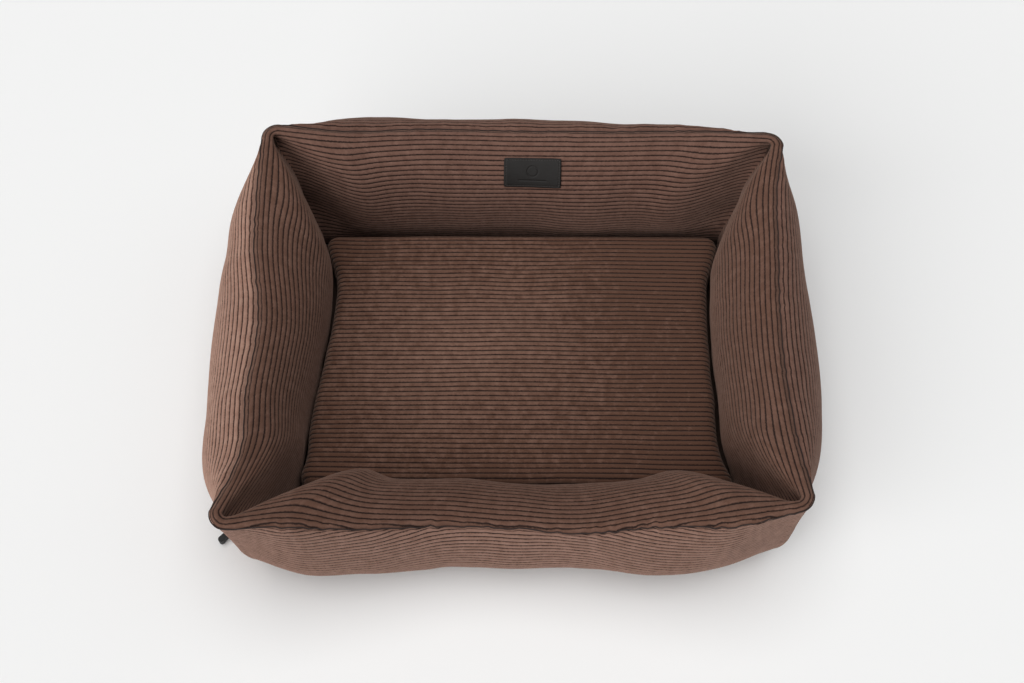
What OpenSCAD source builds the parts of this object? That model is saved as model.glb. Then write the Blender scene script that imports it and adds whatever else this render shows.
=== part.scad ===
// Pet cushion bed: four stuffed corduroy walls sewn round a padded floor, with a loose
// mattress cushion that lifts out, a zip along the left base edge and a zip on the mattress.
// Frame: +X is the bed's width, the low entry wall is at -Y, +Z is up, the floor is z = 0.

/* [Corners] */
// Distance between corner peaks along X
corner_span_x = 646; // [560:2:720]
// Distance between corner peaks along Y
corner_span_y = 524; // [440:2:600]
// Height of the corner peaks
corner_h = 205; // [190:1:230]
// How far the wall bulges outwards at a corner
corner_bulge_out = 5; // [4:1:10]
// How far the wall bulges inwards at a corner
corner_bulge_in = 62; // [50:1:64]
// Outer base edge at a corner, outwards from the peak line: the foot is tucked in
corner_base_out = -24; // [-30:1:0]
// Inner base edge at a corner, inwards from the peak line
corner_base_in = 50; // [44:1:52]
// Thickness of the sewn double layer that closes the fill at a corner
web_t = 3; // [2:0.5:4]

/* [Side walls] */
// Seam height halfway along a side wall
side_seam_h = 184; // [170:1:195]
// How far the side seam bows inwards
side_seam_in = 16; // [0:1:20]
// Greatest outward bulge of a side wall
side_bulge_out = 43; // [30:1:60]
// Greatest inward bulge of a side wall
side_bulge_in = 82; // [64:1:90]
// Outer base edge of a side wall, straight for the length of the zip
side_base_out = 12; // [6:1:18]
// Inner base edge halfway along a side wall
side_base_in = 58; // [50:1:64]

/* [Rear wall] */
// Seam height halfway along the rear wall
rear_seam_h = 190; // [175:1:200]
// How far the rear seam bows outwards
rear_seam_out = 6; // [0:1:16]
// Greatest outward bulge of the rear wall
rear_bulge_out = 55; // [45:1:76]
// Greatest inward bulge of the rear wall
rear_bulge_in = 66; // [62:1:70]
// Outer base edge halfway along the rear wall
rear_base_out = 24; // [10:1:40]
// Inner base edge halfway along the rear wall
rear_base_in = 44; // [36:1:48]

/* [Front wall] */
// Seam height in the middle of the low entry
front_seam_h = 144; // [125:1:170]
// How far the front seam bows inwards
front_seam_in = 11; // [0:1:14]
// Outward bulge in the middle of the entry
front_bulge_out = 7; // [0:1:20]
// Inward bulge in the middle of the entry
front_bulge_in = 82; // [70:1:84]
// Outer base edge in the middle of the entry, outwards from the peak line
front_base_out = -20; // [-24:1:4]
// Inner base edge in the middle of the entry
front_base_in = 60; // [50:1:64]
// Extra outward fullness of the two shoulders beside the entry
front_shoulder_out = 15; // [0:1:20]
// Extra inward fullness of the two shoulders beside the entry
front_shoulder_in = 5; // [0:1:8]

/* [Cloth and base] */
// Thickness of the sewn cloth panels
cloth_t = 2; // [1.5:0.5:3]
// Height of the straight edge band at the foot of the walls
edge_h = 16; // [14:1:20]
// Thickness of the wadding under the mattress
wadding_t = 8; // [5:1:10]
// Height that the turned rim seam stands above the panels
rim_h = 3; // [2:0.5:4]

/* [Mattress] */
// Thickness of the mattress cushion
mattress_t = 65; // [50:1:75]
// Gap between the mattress and the fullest part of the walls
mattress_gap = 2; // [1.5:0.5:6]
// Front edge of the mattress, along Y from the bed's middle
mattress_front = -167; // [-168:1:-150]

/* [Label] */
// Length of the leather label
label_w = 71; // [50:1:80]
// Height of the leather label
label_h = 38; // [30:1:42]
// Distance of the label's middle from the bed's middle line
label_x = 15; // [-60:1:60]

/* [Zips] */
// Length of the cover zip along the left base edge
cover_zip_l = 400; // [300:10:410]
// Length of the mattress zip along its front edge
mattress_zip_l = 280; // [200:10:300]
// Length of the moulded tab on the cover zip
tab_l = 20; // [14:1:24]

/* [Hidden] */
$fn = 48;

corduroy = "#735246";
lining = "#4a352c";
fibre = "#e9e6df";
black_cloth = "#222020";
black_metal = "#2b2a2a";
leather = "#26231f";
thread = "#3a3430";

// Walls are numbered rear 0, left 1, front 2, right 3: a quarter turn each about Z
REAR = 0;
LEFT = 1;
FRONT = 2;
RIGHT = 3;
stations = 16;
widest_at = 0.5;
shoulder_at = 0.65;
straight_to = 0.75;
shoulder_spread = 0.2;
rim_half = 1;
top_h = corner_h - rim_h;
floor_top = cloth_t + wadding_t + cloth_t;
rest_gap = 0.3;
end_trim = web_t / 2 * sqrt(2);

function mix(from, to, k) = from + (to - from) * k;
function sideways(wall) = wall == LEFT || wall == RIGHT;
function half_span(wall) = (sideways(wall) ? corner_span_y : corner_span_x) / 2;
function peak_line(wall) = (sideways(wall) ? corner_span_x : corner_span_y) / 2;
function pick(wall, rear, side, front) = wall == REAR ? rear : wall == FRONT ? front : side;

// How full the wall is at s, from 0 at a corner to 1 in the middle
function fullness(s) = 1 - pow(abs(s), 4);
function sag(wall, s) = wall == FRONT ? (1 + cos(180 * s)) / 2 : 1 - s * s;
function shoulder(wall, s, extra) = wall == FRONT
    ? extra * exp(-pow((abs(s) - shoulder_at) / shoulder_spread, 2)) : 0;

function seam_top(wall, s) =
    mix(top_h, pick(wall, rear_seam_h, side_seam_h, front_seam_h) - rim_h, sag(wall, s));
function seam_w(wall, s) = pick(wall, rear_seam_out, -side_seam_in, -front_seam_in) * (1 - s * s);
function bulge_out(wall, s) = shoulder(wall, s, front_shoulder_out) + mix(corner_bulge_out,
    pick(wall, rear_bulge_out, side_bulge_out, front_bulge_out), fullness(s));
function bulge_in(wall, s) = shoulder(wall, s, front_shoulder_in) + mix(corner_bulge_in,
    pick(wall, rear_bulge_in, side_bulge_in, front_bulge_in), fullness(s));
function base_out(wall, s) = mix(corner_base_out,
    pick(wall, rear_base_out, side_base_out, front_base_out),
    sideways(wall) ? min(1, (1 - abs(s)) / (1 - straight_to)) : fullness(s));
function base_in(wall, s) = mix(corner_base_in,
    pick(wall, rear_base_in, side_base_in, front_base_in), fullness(s));

// Half a wall's cross-section as [outward, up] points from the floor to the rim seam.
// side is 1 for the outer face and -1 for the inner face, inset moves it into the wall.
function half_section(wall, s, side, inset) =
    let(foot_w = side > 0 ? base_out(wall, s) : -base_in(wall, s),
        foot_z = side > 0 ? edge_h : floor_top,
        full_w = (side > 0 ? bulge_out(wall, s) : -bulge_in(wall, s)) - side * inset,
        low_w = foot_w - side * inset,
        high_z = seam_top(wall, s) - inset,
        full_z = mix(foot_z, seam_top(wall, s), widest_at),
        rim_w = seam_w(wall, s) + side * rim_half)
    concat([[low_w, cloth_t], [low_w, foot_z]],
        [for (a = [30, 60]) [mix(low_w, full_w, sin(a)), mix(foot_z, full_z, 1 - cos(a))]],
        [for (a = [0 : 15 : 90]) [mix(rim_w, full_w, cos(a)), mix(full_z, high_z, sin(a))]]);

// The origin is the middle of the floor plan, so the whole bed is moved by middle_y
front_reach = max([for (i = [0 : stations]) bulge_out(FRONT, station(i))]);
middle_y = (rear_bulge_out - front_reach) / 2;

module centred() {
    translate([0, -middle_y, 0])
        children();
}

function reversed(list) = [for (i = [len(list) - 1 : -1 : 0]) list[i]];
function along(wall, s, w) = s * (half_span(wall) - end_trim + w);
function placed(wall, s, p) = [along(wall, s, p[0]), peak_line(wall) + p[0], p[1]];
function quarter_turns(p, n) = n == 0 ? p : quarter_turns([-p[1], p[0], p[2]], n - 1);
function station(i) = -1 + 2 * i / stations;

// Faces of a swept grid of rings; the second half of each ring is split the other way,
// so that neighbouring solids share the same triangles
function grid_faces(rings, ring, closed) = [
    for (i = [0 : rings - (closed ? 1 : 2)], j = [0 : ring - 1], part = [0, 1])
    let(a = i * ring + j, b = i * ring + (j + 1) % ring,
        next = (i + 1) % rings,
        c = next * ring + (j + 1) % ring, d = next * ring + j)
    j < ring / 2 ? (part == 0 ? [a, b, c] : [a, c, d]) : (part == 0 ? [a, b, d] : [b, c, d])];

// End of a sweep as a ladder of four-sided faces between its two half sections, because
// one face for the whole end is hollow on one side and would be split across the hollow
function ladder(ring, first) = [for (j = [0 : ring / 2 - 2])
    [for (k = [j, j + 1, ring - 2 - j, ring - 1 - j]) first + k]];

module swept(wall, loops) {
    ring = len(loops[0]);
    points = [for (i = [0 : stations], p = loops[i]) placed(wall, station(i), p)];
    first_cap = [for (face = ladder(ring, 0)) reversed(face)];
    last_cap = ladder(ring, stations * ring);
    centred()
        rotate([0, 0, 90 * wall])
        polyhedron(points, concat(grid_faces(stations + 1, ring, false), first_cap, last_cap));
}

// One cloth panel of a wall: a skin that covers the fill on one side
module wall_panel(wall, side) {
    color(corduroy)
        swept(wall, [for (i = [0 : stations])
            let(s = station(i),
                skin = half_section(wall, s, side, 0),
                back = half_section(wall, s, side, cloth_t))
            side > 0 ? concat(back, reversed(skin)) : concat(skin, reversed(back))]);
}

// The stuffing of a wall, up to the backs of its two panels
module wall_fill(wall) {
    color(fibre)
        swept(wall, [for (i = [0 : stations])
            let(s = station(i))
            concat(half_section(wall, s, -1, cloth_t),
                reversed(half_section(wall, s, 1, cloth_t)))]);
}

// Sewn double layer on the diagonal of a corner, between the ends of two walls
module corner_seam(wall) {
    outer = half_section(wall, 1, 1, 0);
    inner = half_section(wall, 1, -1, 0);
    notch_z = top_h - cloth_t;
    outline = concat(inner, [[-rim_half, notch_z], [rim_half, notch_z]], reversed(outer));
    color(corduroy)
        centred()
        rotate([0, 0, 90 * wall])
        translate([-half_span(wall), peak_line(wall), 0])
        rotate([0, 0, 135])
        rotate([90, 0, 0])
        linear_extrude(web_t, center = true)
        polygon([for (p = outline) [p[0] * sqrt(2), p[1]]]);
}

// The turned seam allowance that stands along the top of all four walls
module rim_seam() {
    section = [[-rim_half, -cloth_t], [-rim_half, rim_h], [rim_half, rim_h], [rim_half, -cloth_t]];
    points = [for (wall = [REAR, RIGHT, FRONT, LEFT], i = [0 : stations], p = section)
        let(s = station(i))
        quarter_turns(placed(wall, s, [seam_w(wall, s) + p[0], seam_top(wall, s) + p[1]]), wall)];
    color(corduroy)
        centred()
        polyhedron(points, grid_faces(4 * (stations + 1), len(section), true));
}

// Plan outline through all four walls at the outer (side 1) or inner (side -1) base edge
function base_outline(side) = [for (wall = [REAR, RIGHT, FRONT, LEFT], i = [0 : stations])
    let(s = station(i),
        p = quarter_turns(placed(wall, s, half_section(wall, s, side, 0)[0]), wall))
    [p[0], p[1]]];

module slab(outline, z, thickness) {
    centred()
        translate([0, 0, z])
        linear_extrude(thickness)
        polygon(outline);
}

module base_cloth() {
    color(black_cloth)
        slab(base_outline(1), 0, cloth_t);
}

module base_wadding() {
    color(fibre)
        slab(base_outline(-1), cloth_t, wadding_t);
}

module floor_panel() {
    color(lining)
        slab(base_outline(-1), cloth_t + wadding_t, cloth_t);
}

/* Mattress */
mattress_z = floor_top + rest_gap;
mattress_rear = corner_span_y / 2 - rear_bulge_in - mattress_gap;
mattress_corner = 16;
mattress_steps = 16;
mattress_rear_reach = 0.93;
mattress_front_reach = 0.8;
cover_join_z = mattress_z + mattress_t / 2;

// Half width of the mattress at height s along a side wall
function mattress_x(s) = corner_span_x / 2 - bulge_in(RIGHT, s) - mattress_gap;
function mattress_y(s) = s * (corner_span_y / 2 - bulge_in(RIGHT, s));
function mattress_right(inset) = [for (i = [0 : mattress_steps])
    let(s = mix(mattress_rear_reach, -mattress_front_reach, i / mattress_steps))
    [mattress_x(s) - inset, mattress_y(s)]];
function mattress_outline(inset) =
    let(right = mattress_right(inset),
        rear_x = mattress_x(mattress_rear_reach) - mattress_corner,
        front_x = mattress_x(mattress_front_reach) - mattress_corner,
        ends = concat([[rear_x, mattress_rear - inset]], right,
            [[front_x, mattress_front + inset]]))
    concat(ends, [for (p = reversed(ends)) [-p[0], p[1]]]);

module mattress_fill() {
    color(fibre)
        slab(mattress_outline(cloth_t), mattress_z + cloth_t, mattress_t - 2 * cloth_t);
}

// Half of the mattress cover: a sheet with a skirt that reaches the middle of the edge
module mattress_cover(z, sheet_z) {
    color(corduroy) {
        difference() {
            slab(mattress_outline(0), z, mattress_t / 2);
            slab(mattress_outline(cloth_t), z - cloth_t, mattress_t);
        }
        slab(mattress_outline(0), sheet_z, cloth_t);
    }
}

module mattress_top_cover() {
    mattress_cover(cover_join_z, mattress_z + mattress_t - cloth_t);
}

module mattress_bottom_cover() {
    mattress_cover(mattress_z, mattress_z);
}

/* Label */
label_t = 1.6;
label_lift = 0.15;
label_row = 7;
stitch_inset = 3;
stitch_w = 0.8;
stitch_t = 0.4;

// The label lies flat against the upper part of the rear wall's inner face
module on_rear_face() {
    middle = half_section(REAR, 0, -1, 0);
    face = middle[label_row];
    slope = middle[label_row + 1] - middle[label_row - 1];
    centred()
        translate([label_x, peak_line(REAR) + face[0], face[1]])
        rotate([atan2(slope[1], slope[0]), 0, 0])
        translate([0, 0, label_lift])
        children();
}

module rounded_plate(w, h, r) {
    hull()
        for (x = [-1, 1], y = [-1, 1])
            translate([x * (w / 2 - r), y * (h / 2 - r)])
                circle(r);
}

module leather_label() {
    corner_r = 2.5;
    color(leather)
        on_rear_face()
        linear_extrude(label_t)
        rounded_plate(label_w, label_h, corner_r);
}

module label_stitching() {
    corner_r = 1.5;
    w = label_w - 2 * stitch_inset;
    h = label_h - 2 * stitch_inset;
    color(thread)
        on_rear_face()
        translate([0, 0, label_t])
        linear_extrude(stitch_t)
        difference() {
            rounded_plate(w, h, corner_r);
            rounded_plate(w - 2 * stitch_w, h - 2 * stitch_w, corner_r - stitch_w);
        }
}

/* Zips */
tape_t = 1.2;
tooth_pitch = 5;
tooth_l = 3;
tooth_w = 3.4;
spine_w = 1.4;
tooth_h = 2.4;
spine_h = 1.2;
stop_l = 3;
stop_w = 4.4;
run_gap = 0.4;

// A straight zip row: the tape lies in the XZ plane and faces -Y, and runs along X
module tape(length, width) {
    translate([-length / 2, -tape_t, -width / 2])
        cube([length, tape_t, width]);
}

module teeth(length) {
    count = floor(length / tooth_pitch);
    translate([-length / 2, -tape_t - spine_h, -spine_w / 2])
        cube([length, spine_h, spine_w]);
    for (i = [0 : count - 1])
        translate([(i + 0.5) * tooth_pitch - length / 2 - tooth_l / 2,
            -tape_t - tooth_h, -tooth_w / 2])
            cube([tooth_l, tooth_h, tooth_w]);
}

// Slider shell: a plate over the teeth with a flange along each side
module slider_shell(length, width, plate_t) {
    inner_w = tooth_w + 2 * run_gap;
    face = tape_t + tooth_h + run_gap;
    translate([-length / 2, -face - plate_t, -width / 2])
        cube([length, plate_t, width]);
    for (z = [-width / 2, inner_w / 2])
        translate([-length / 2, -face, z])
            cube([length, tooth_h, (width - inner_w) / 2]);
}

// Cover zip: it runs along Y on the edge band of the left wall, facing -X
cover_zip_x = -corner_span_x / 2 - side_base_out;
cover_zip_z = edge_h / 2;
cover_zip_mid = -10;
cover_tape_w = 14.8;
slider_l = 12;
slider_w = 9.6;
slider_t = 1.6;
park = 8;
cover_teeth_l = cover_zip_l - 2 * park;
pin_r = 0.8;
pin_gap = 0.1;
eye_r = 2.2;
eye_h = 3;
lug_wall = 0.8;
lug_h = 1;
lug_gap = 0.2;
lug_reach = 2.6;
pull_swing = 52;
tab_root_r = 2.4;
tab_end_r = 4;
tab_h = 8;
link_l = 5;

cover_slider_y = cover_zip_mid - cover_teeth_l / 2 + slider_l / 2 + run_gap;
pin_x = tape_t + tooth_h + run_gap + slider_t + lug_reach;

module on_cover_zip() {
    centred()
        translate([cover_zip_x, cover_zip_mid, cover_zip_z])
        rotate([0, 0, -90])
        children();
}

module on_cover_slider() {
    centred()
        translate([cover_zip_x, cover_slider_y, cover_zip_z])
        rotate([0, 0, -90])
        children();
}

module cover_zip_tape() {
    color(black_cloth)
        on_cover_zip()
        tape(cover_zip_l, cover_tape_w);
}

module cover_zip_teeth() {
    color(black_metal)
        on_cover_zip()
        teeth(cover_teeth_l);
}

module cover_zip_stops() {
    color(black_metal)
        on_cover_zip()
        for (end = [-1, 1])
            translate([end * (cover_teeth_l / 2 + stop_l / 2) - stop_l / 2,
                -tape_t - tooth_h, -stop_w / 2])
                cube([stop_l, tooth_h, stop_w]);
}

module cover_zip_slider() {
    lug_z = eye_h / 2 + lug_gap;
    color(black_metal)
        on_cover_slider() {
            slider_shell(slider_l, slider_w, slider_t);
            for (z = [-lug_z - lug_h, lug_z])
                translate([0, 0, z])
                    linear_extrude(lug_h)
                    union() {
                        translate([0, -pin_x])
                            circle(pin_r + lug_wall);
                        translate([-pin_r - lug_wall, -pin_x])
                            square([2 * (pin_r + lug_wall), lug_reach]);
                    }
            translate([0, -pin_x, -lug_z])
                cylinder(h = 2 * lug_z, r = pin_r);
        }
}

// The pull hangs on the slider's pin and rests turned a little towards the front
module on_cover_pin() {
    on_cover_slider()
        translate([0, -pin_x, 0])
        rotate([0, 0, pull_swing])
        children();
}

module cover_zip_link() {
    color(black_metal)
        on_cover_pin()
        difference() {
            translate([0, 0, -eye_h / 2])
                linear_extrude(eye_h)
                union() {
                    circle(eye_r);
                    translate([-eye_r / 2, -link_l])
                        square([eye_r, link_l]);
                }
            cylinder(h = eye_h + 2, r = pin_r + pin_gap, center = true);
        }
}

module cover_zip_tab() {
    tip = link_l + tab_l - tab_end_r;
    color(black_cloth)
        on_cover_pin()
        translate([0, 0, -tab_h / 2])
        linear_extrude(tab_h)
        difference() {
            hull() {
                translate([0, -link_l - tab_root_r])
                    circle(tab_root_r);
                translate([0, -tip])
                    circle(tab_end_r);
            }
            translate([-tab_end_r, -link_l])
                square([2 * tab_end_r, link_l]);
        }
}

// Mattress zip: it runs along X on the front edge of the mattress, facing -Y
mattress_tape_w = 20;
mattress_teeth_l = mattress_zip_l - 10;
mattress_slider_x = -mattress_teeth_l / 2 + slider_l / 2 + run_gap;
pull_t = 1.2;
pull_l = 20;
pull_w = 6;

module on_mattress_edge(x) {
    centred()
        translate([x, mattress_front, cover_join_z])
        children();
}

module mattress_zip_tape() {
    color(black_cloth)
        on_mattress_edge(0)
        tape(mattress_zip_l, mattress_tape_w);
}

module mattress_zip_teeth() {
    color(black_metal)
        on_mattress_edge(0)
        teeth(mattress_teeth_l);
}

module mattress_zip_slider() {
    color(black_metal)
        on_mattress_edge(mattress_slider_x)
        slider_shell(slider_l, slider_w, slider_t);
}

// The pull lies flat on the slider and reaches back over the closed teeth
module mattress_zip_pull() {
    face = tape_t + tooth_h + run_gap + slider_t;
    color(black_metal)
        on_mattress_edge(mattress_slider_x)
        translate([0, -face, 0])
        rotate([90, 0, 0])
        linear_extrude(pull_t)
        difference() {
            translate([pull_l / 2 - pull_w / 2, 0])
                rounded_plate(pull_l, pull_w, pull_w / 2);
            translate([pull_l - pull_w, 0])
                circle(pull_w / 4);
        }
}

base_cloth();
base_wadding();
floor_panel();
wall_fill(REAR);  // rear_wall_fill
wall_fill(LEFT);  // left_wall_fill
wall_fill(FRONT);  // front_wall_fill
wall_fill(RIGHT);  // right_wall_fill
wall_panel(REAR, -1);  // rear_inner_panel
wall_panel(LEFT, -1);  // left_inner_panel
wall_panel(FRONT, -1);  // front_inner_panel
wall_panel(RIGHT, -1);  // right_inner_panel
wall_panel(REAR, 1);  // rear_outer_panel
wall_panel(LEFT, 1);  // left_outer_panel
wall_panel(FRONT, 1);  // front_outer_panel
wall_panel(RIGHT, 1);  // right_outer_panel
corner_seam(REAR);  // rear_left_corner_seam
corner_seam(LEFT);  // front_left_corner_seam
corner_seam(FRONT);  // front_right_corner_seam
corner_seam(RIGHT);  // rear_right_corner_seam
rim_seam();
leather_label();
label_stitching();
cover_zip_tape();
cover_zip_teeth();
cover_zip_stops();
cover_zip_slider();
cover_zip_link();
cover_zip_tab();
mattress_fill();
mattress_top_cover();
mattress_bottom_cover();
mattress_zip_tape();
mattress_zip_teeth();
mattress_zip_slider();
mattress_zip_pull();
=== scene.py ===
"""Pet cushion bed: corduroy walls, mattress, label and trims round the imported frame."""

import logging
import math
from dataclasses import dataclass, field
from enum import Enum

import bpy
import numpy as np
from mathutils import Matrix, Vector


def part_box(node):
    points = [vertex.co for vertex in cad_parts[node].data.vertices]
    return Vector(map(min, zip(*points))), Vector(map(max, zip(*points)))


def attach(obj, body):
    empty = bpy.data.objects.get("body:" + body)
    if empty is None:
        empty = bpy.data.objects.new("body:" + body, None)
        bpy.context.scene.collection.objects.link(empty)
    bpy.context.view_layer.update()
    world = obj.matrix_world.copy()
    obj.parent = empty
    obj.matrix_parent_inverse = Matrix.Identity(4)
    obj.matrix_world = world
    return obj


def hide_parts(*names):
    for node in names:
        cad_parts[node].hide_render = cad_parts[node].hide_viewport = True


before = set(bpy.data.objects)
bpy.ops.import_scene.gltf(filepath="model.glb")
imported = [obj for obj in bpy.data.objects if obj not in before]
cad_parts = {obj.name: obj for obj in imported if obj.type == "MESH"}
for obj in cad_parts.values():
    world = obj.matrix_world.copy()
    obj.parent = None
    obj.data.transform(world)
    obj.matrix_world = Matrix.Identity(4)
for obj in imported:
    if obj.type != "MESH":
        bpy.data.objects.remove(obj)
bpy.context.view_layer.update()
LOG = logging.getLogger("pet_bed")

WALE_PITCH = 0.00635
WALE_DEPTH = 0.0013
CLOTH_UV = "cloth"
BED = "bed"
MATTRESS = "mattress"


class Side(Enum):
    """A wall of the bed; its value is the number of quarter turns from the rear wall."""

    REAR = 0
    LEFT = 1
    FRONT = 2
    RIGHT = 3


class Face(Enum):
    """The face of a wall; its value is the sign of the outward direction."""

    OUTER = 1
    INNER = -1


# ---------------------------------------------------------------- mesh helpers


def smooth_noise(x: np.ndarray, y: np.ndarray, seed: int) -> np.ndarray:
    """Smooth lattice noise from -1 to 1.

    Args:
        x: First coordinate, in cells.
        y: Second coordinate, in cells, of the same shape as x.
        seed: Seed of the lattice.

    Returns:
        The noise at each point.
    """
    size = 128
    lattice = np.random.default_rng(seed).uniform(-1.0, 1.0, (size, size))
    x0, y0 = np.floor(x).astype(int), np.floor(y).astype(int)
    fx, fy = x - x0, y - y0
    fx = fx * fx * fx * (fx * (fx * 6 - 15) + 10)
    fy = fy * fy * fy * (fy * (fy * 6 - 15) + 10)
    corner = [lattice[(x0 + i) % size, (y0 + j) % size] for i in (0, 1) for j in (0, 1)]
    low = corner[0] * (1 - fy) + corner[1] * fy
    high = corner[2] * (1 - fy) + corner[3] * fy
    return low * (1 - fx) + high * fx


def smooth_curve(at: np.ndarray, marks: tuple, values: tuple) -> np.ndarray:
    """Smooth curve through a few sizes.

    Args:
        at: Places to read the curve at.
        marks: Rising places of the sizes.
        values: The sizes.

    Returns:
        The size at each place.
    """
    x, y = np.asarray(marks, float), np.asarray(values, float)
    slope = np.gradient(y, x)
    i = np.clip(np.searchsorted(x, at) - 1, 0, len(x) - 2)
    width = x[i + 1] - x[i]
    t = (at - x[i]) / width
    rise = t * t * (3 - 2 * t)
    return (y[i] * (1 - rise) + y[i + 1] * rise
            + width * t * (1 - t) * (slope[i] * (1 - t) - slope[i + 1] * t))


def ease(value: np.ndarray, start: float, end: float) -> np.ndarray:
    """Smooth step from 0 at start to 1 at end."""
    t = np.clip((value - start) / (end - start), 0, 1)
    return t * t * (3 - 2 * t)


def inside(outline: np.ndarray, x: float, y: float) -> bool:
    """Whether a point lies inside a closed outline of shape (n, 2)."""
    a, b = outline, np.roll(outline, -1, axis=0)
    crosses = (a[:, 1] > y) != (b[:, 1] > y)
    at = a[:, 0] + (y - a[:, 1]) / np.where(crosses, b[:, 1] - a[:, 1], 1) * (b[:, 0] - a[:, 0])
    return bool(np.count_nonzero(crosses & (at > x)) % 2)


def wale_height(phase: np.ndarray) -> np.ndarray:
    """Height of the corduroy pile from 0 in a groove to 1 on a rib.

    Args:
        phase: Distance across the ribs, in ribs; a groove lies at each whole number.

    Returns:
        The height at each point.
    """
    groove_half_width = 0.13
    distance = np.abs(phase - np.round(phase))
    round_top = 1.0 - 0.55 * (2 * (0.5 - distance)) ** 2 * 0.5
    return round_top * (1.0 - np.exp(-((distance / groove_half_width) ** 2)))


def grid_normals(points: np.ndarray) -> np.ndarray:
    """Unit normals of a grid of points.

    Args:
        points: Positions of shape (stations, rows, 3).

    Returns:
        Unit normals of the same shape, along station direction x row direction.
    """
    along = np.gradient(points, axis=0)
    across = np.gradient(points, axis=1)
    normal = np.cross(along, across)
    return normal / np.maximum(np.linalg.norm(normal, axis=2, keepdims=True), 1e-12)


def new_piece(name: str, points: np.ndarray, faces: list, material: bpy.types.Material,
              uv: np.ndarray | None = None, crease_deg: float = 80.0) -> bpy.types.Object:
    """Make a smooth-shaded mesh object.

    Args:
        name: Name of the piece.
        points: Vertex positions in metres, of shape (n, 3).
        faces: Vertex numbers of each face.
        material: The piece's finish.
        uv: Cloth coordinates of each vertex, if it has them.
        crease_deg: Edges sharper than this stay sharp.

    Returns:
        The new object, linked to the scene.
    """
    mesh = bpy.data.meshes.new(name)
    mesh.from_pydata(points.tolist(), [], faces)
    mesh.validate()
    mesh.polygons.foreach_set("use_smooth", [True] * len(mesh.polygons))
    mesh.set_sharp_from_angle(angle=math.radians(crease_deg))
    if uv is not None:
        layer = mesh.uv_layers.new(name=CLOTH_UV)
        corners = np.zeros(len(mesh.loops), np.int32)
        mesh.loops.foreach_get("vertex_index", corners)
        layer.data.foreach_set("uv", uv[corners].astype(np.float32).ravel())
    mesh.materials.append(material)
    piece = bpy.data.objects.new(name, mesh)
    bpy.context.scene.collection.objects.link(piece)
    return piece


def grid_faces(stations: int, rows: int, wrap_stations: bool = False,
               wrap_rows: bool = False, flip: bool = False) -> list:
    """Quads of a grid whose vertices are numbered station by station.

    Args:
        stations: Number of stations.
        rows: Number of rows at each station.
        wrap_stations: Join the last station to the first.
        wrap_rows: Join the last row to the first.
        flip: Turn the faces over.

    Returns:
        Four vertex numbers for each quad.
    """
    i = np.arange(stations if wrap_stations else stations - 1)[:, None]
    j = np.arange(rows if wrap_rows else rows - 1)[None, :]
    next_i, next_j = (i + 1) % stations, (j + 1) % rows
    quads = np.stack([i * rows + j, next_i * rows + j, next_i * rows + next_j,
                      i * rows + next_j], axis=2).reshape(-1, 4)
    return (quads[:, ::-1] if flip else quads).tolist()


def tube(name: str, path: np.ndarray, radius: float, material: bpy.types.Material,
         closed: bool, sides: int = 8) -> bpy.types.Object:
    """A round thread or cord along a path.

    Args:
        name: Name of the piece.
        path: Points along the middle, of shape (n, 3).
        radius: Radius in metres.
        material: The piece's finish.
        closed: Whether the path closes on itself.
        sides: Number of sides.

    Returns:
        The new object.
    """
    if closed:
        tangent = np.roll(path, -1, axis=0) - np.roll(path, 1, axis=0)
    else:
        tangent = np.gradient(path, axis=0)
    tangent /= np.linalg.norm(tangent, axis=1, keepdims=True)
    across = np.cross(tangent, [0.0, 0.0, 1.0])
    across /= np.maximum(np.linalg.norm(across, axis=1, keepdims=True), 1e-9)
    up = np.cross(across, tangent)
    angle = np.linspace(0, 2 * math.pi, sides, endpoint=False)
    ring = (path[:, None] + radius * (np.cos(angle)[None, :, None] * across[:, None]
                                      + np.sin(angle)[None, :, None] * up[:, None]))
    faces = grid_faces(len(path), sides, wrap_stations=closed, wrap_rows=True)
    if not closed:
        last = (len(path) - 1) * sides
        faces += [list(range(sides)), list(range(last + sides - 1, last - 1, -1))]
    return new_piece(name, ring.reshape(-1, 3), faces, material)


# ---------------------------------------------------------------- node groups


def socket(group: bpy.types.NodeTree, name: str, kind: str, output: bool = False,
           value: float | tuple | None = None) -> None:
    """Add a named socket to a node group.

    Args:
        group: The node group.
        name: Name of the socket.
        kind: Short kind, Float, Color or Vector.
        output: Whether it is an output.
        value: Default value of an input.
    """
    made = group.interface.new_socket(name=name, in_out="OUTPUT" if output else "INPUT",
                                      socket_type="NodeSocket" + kind)
    if value is not None:
        made.default_value = value


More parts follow.
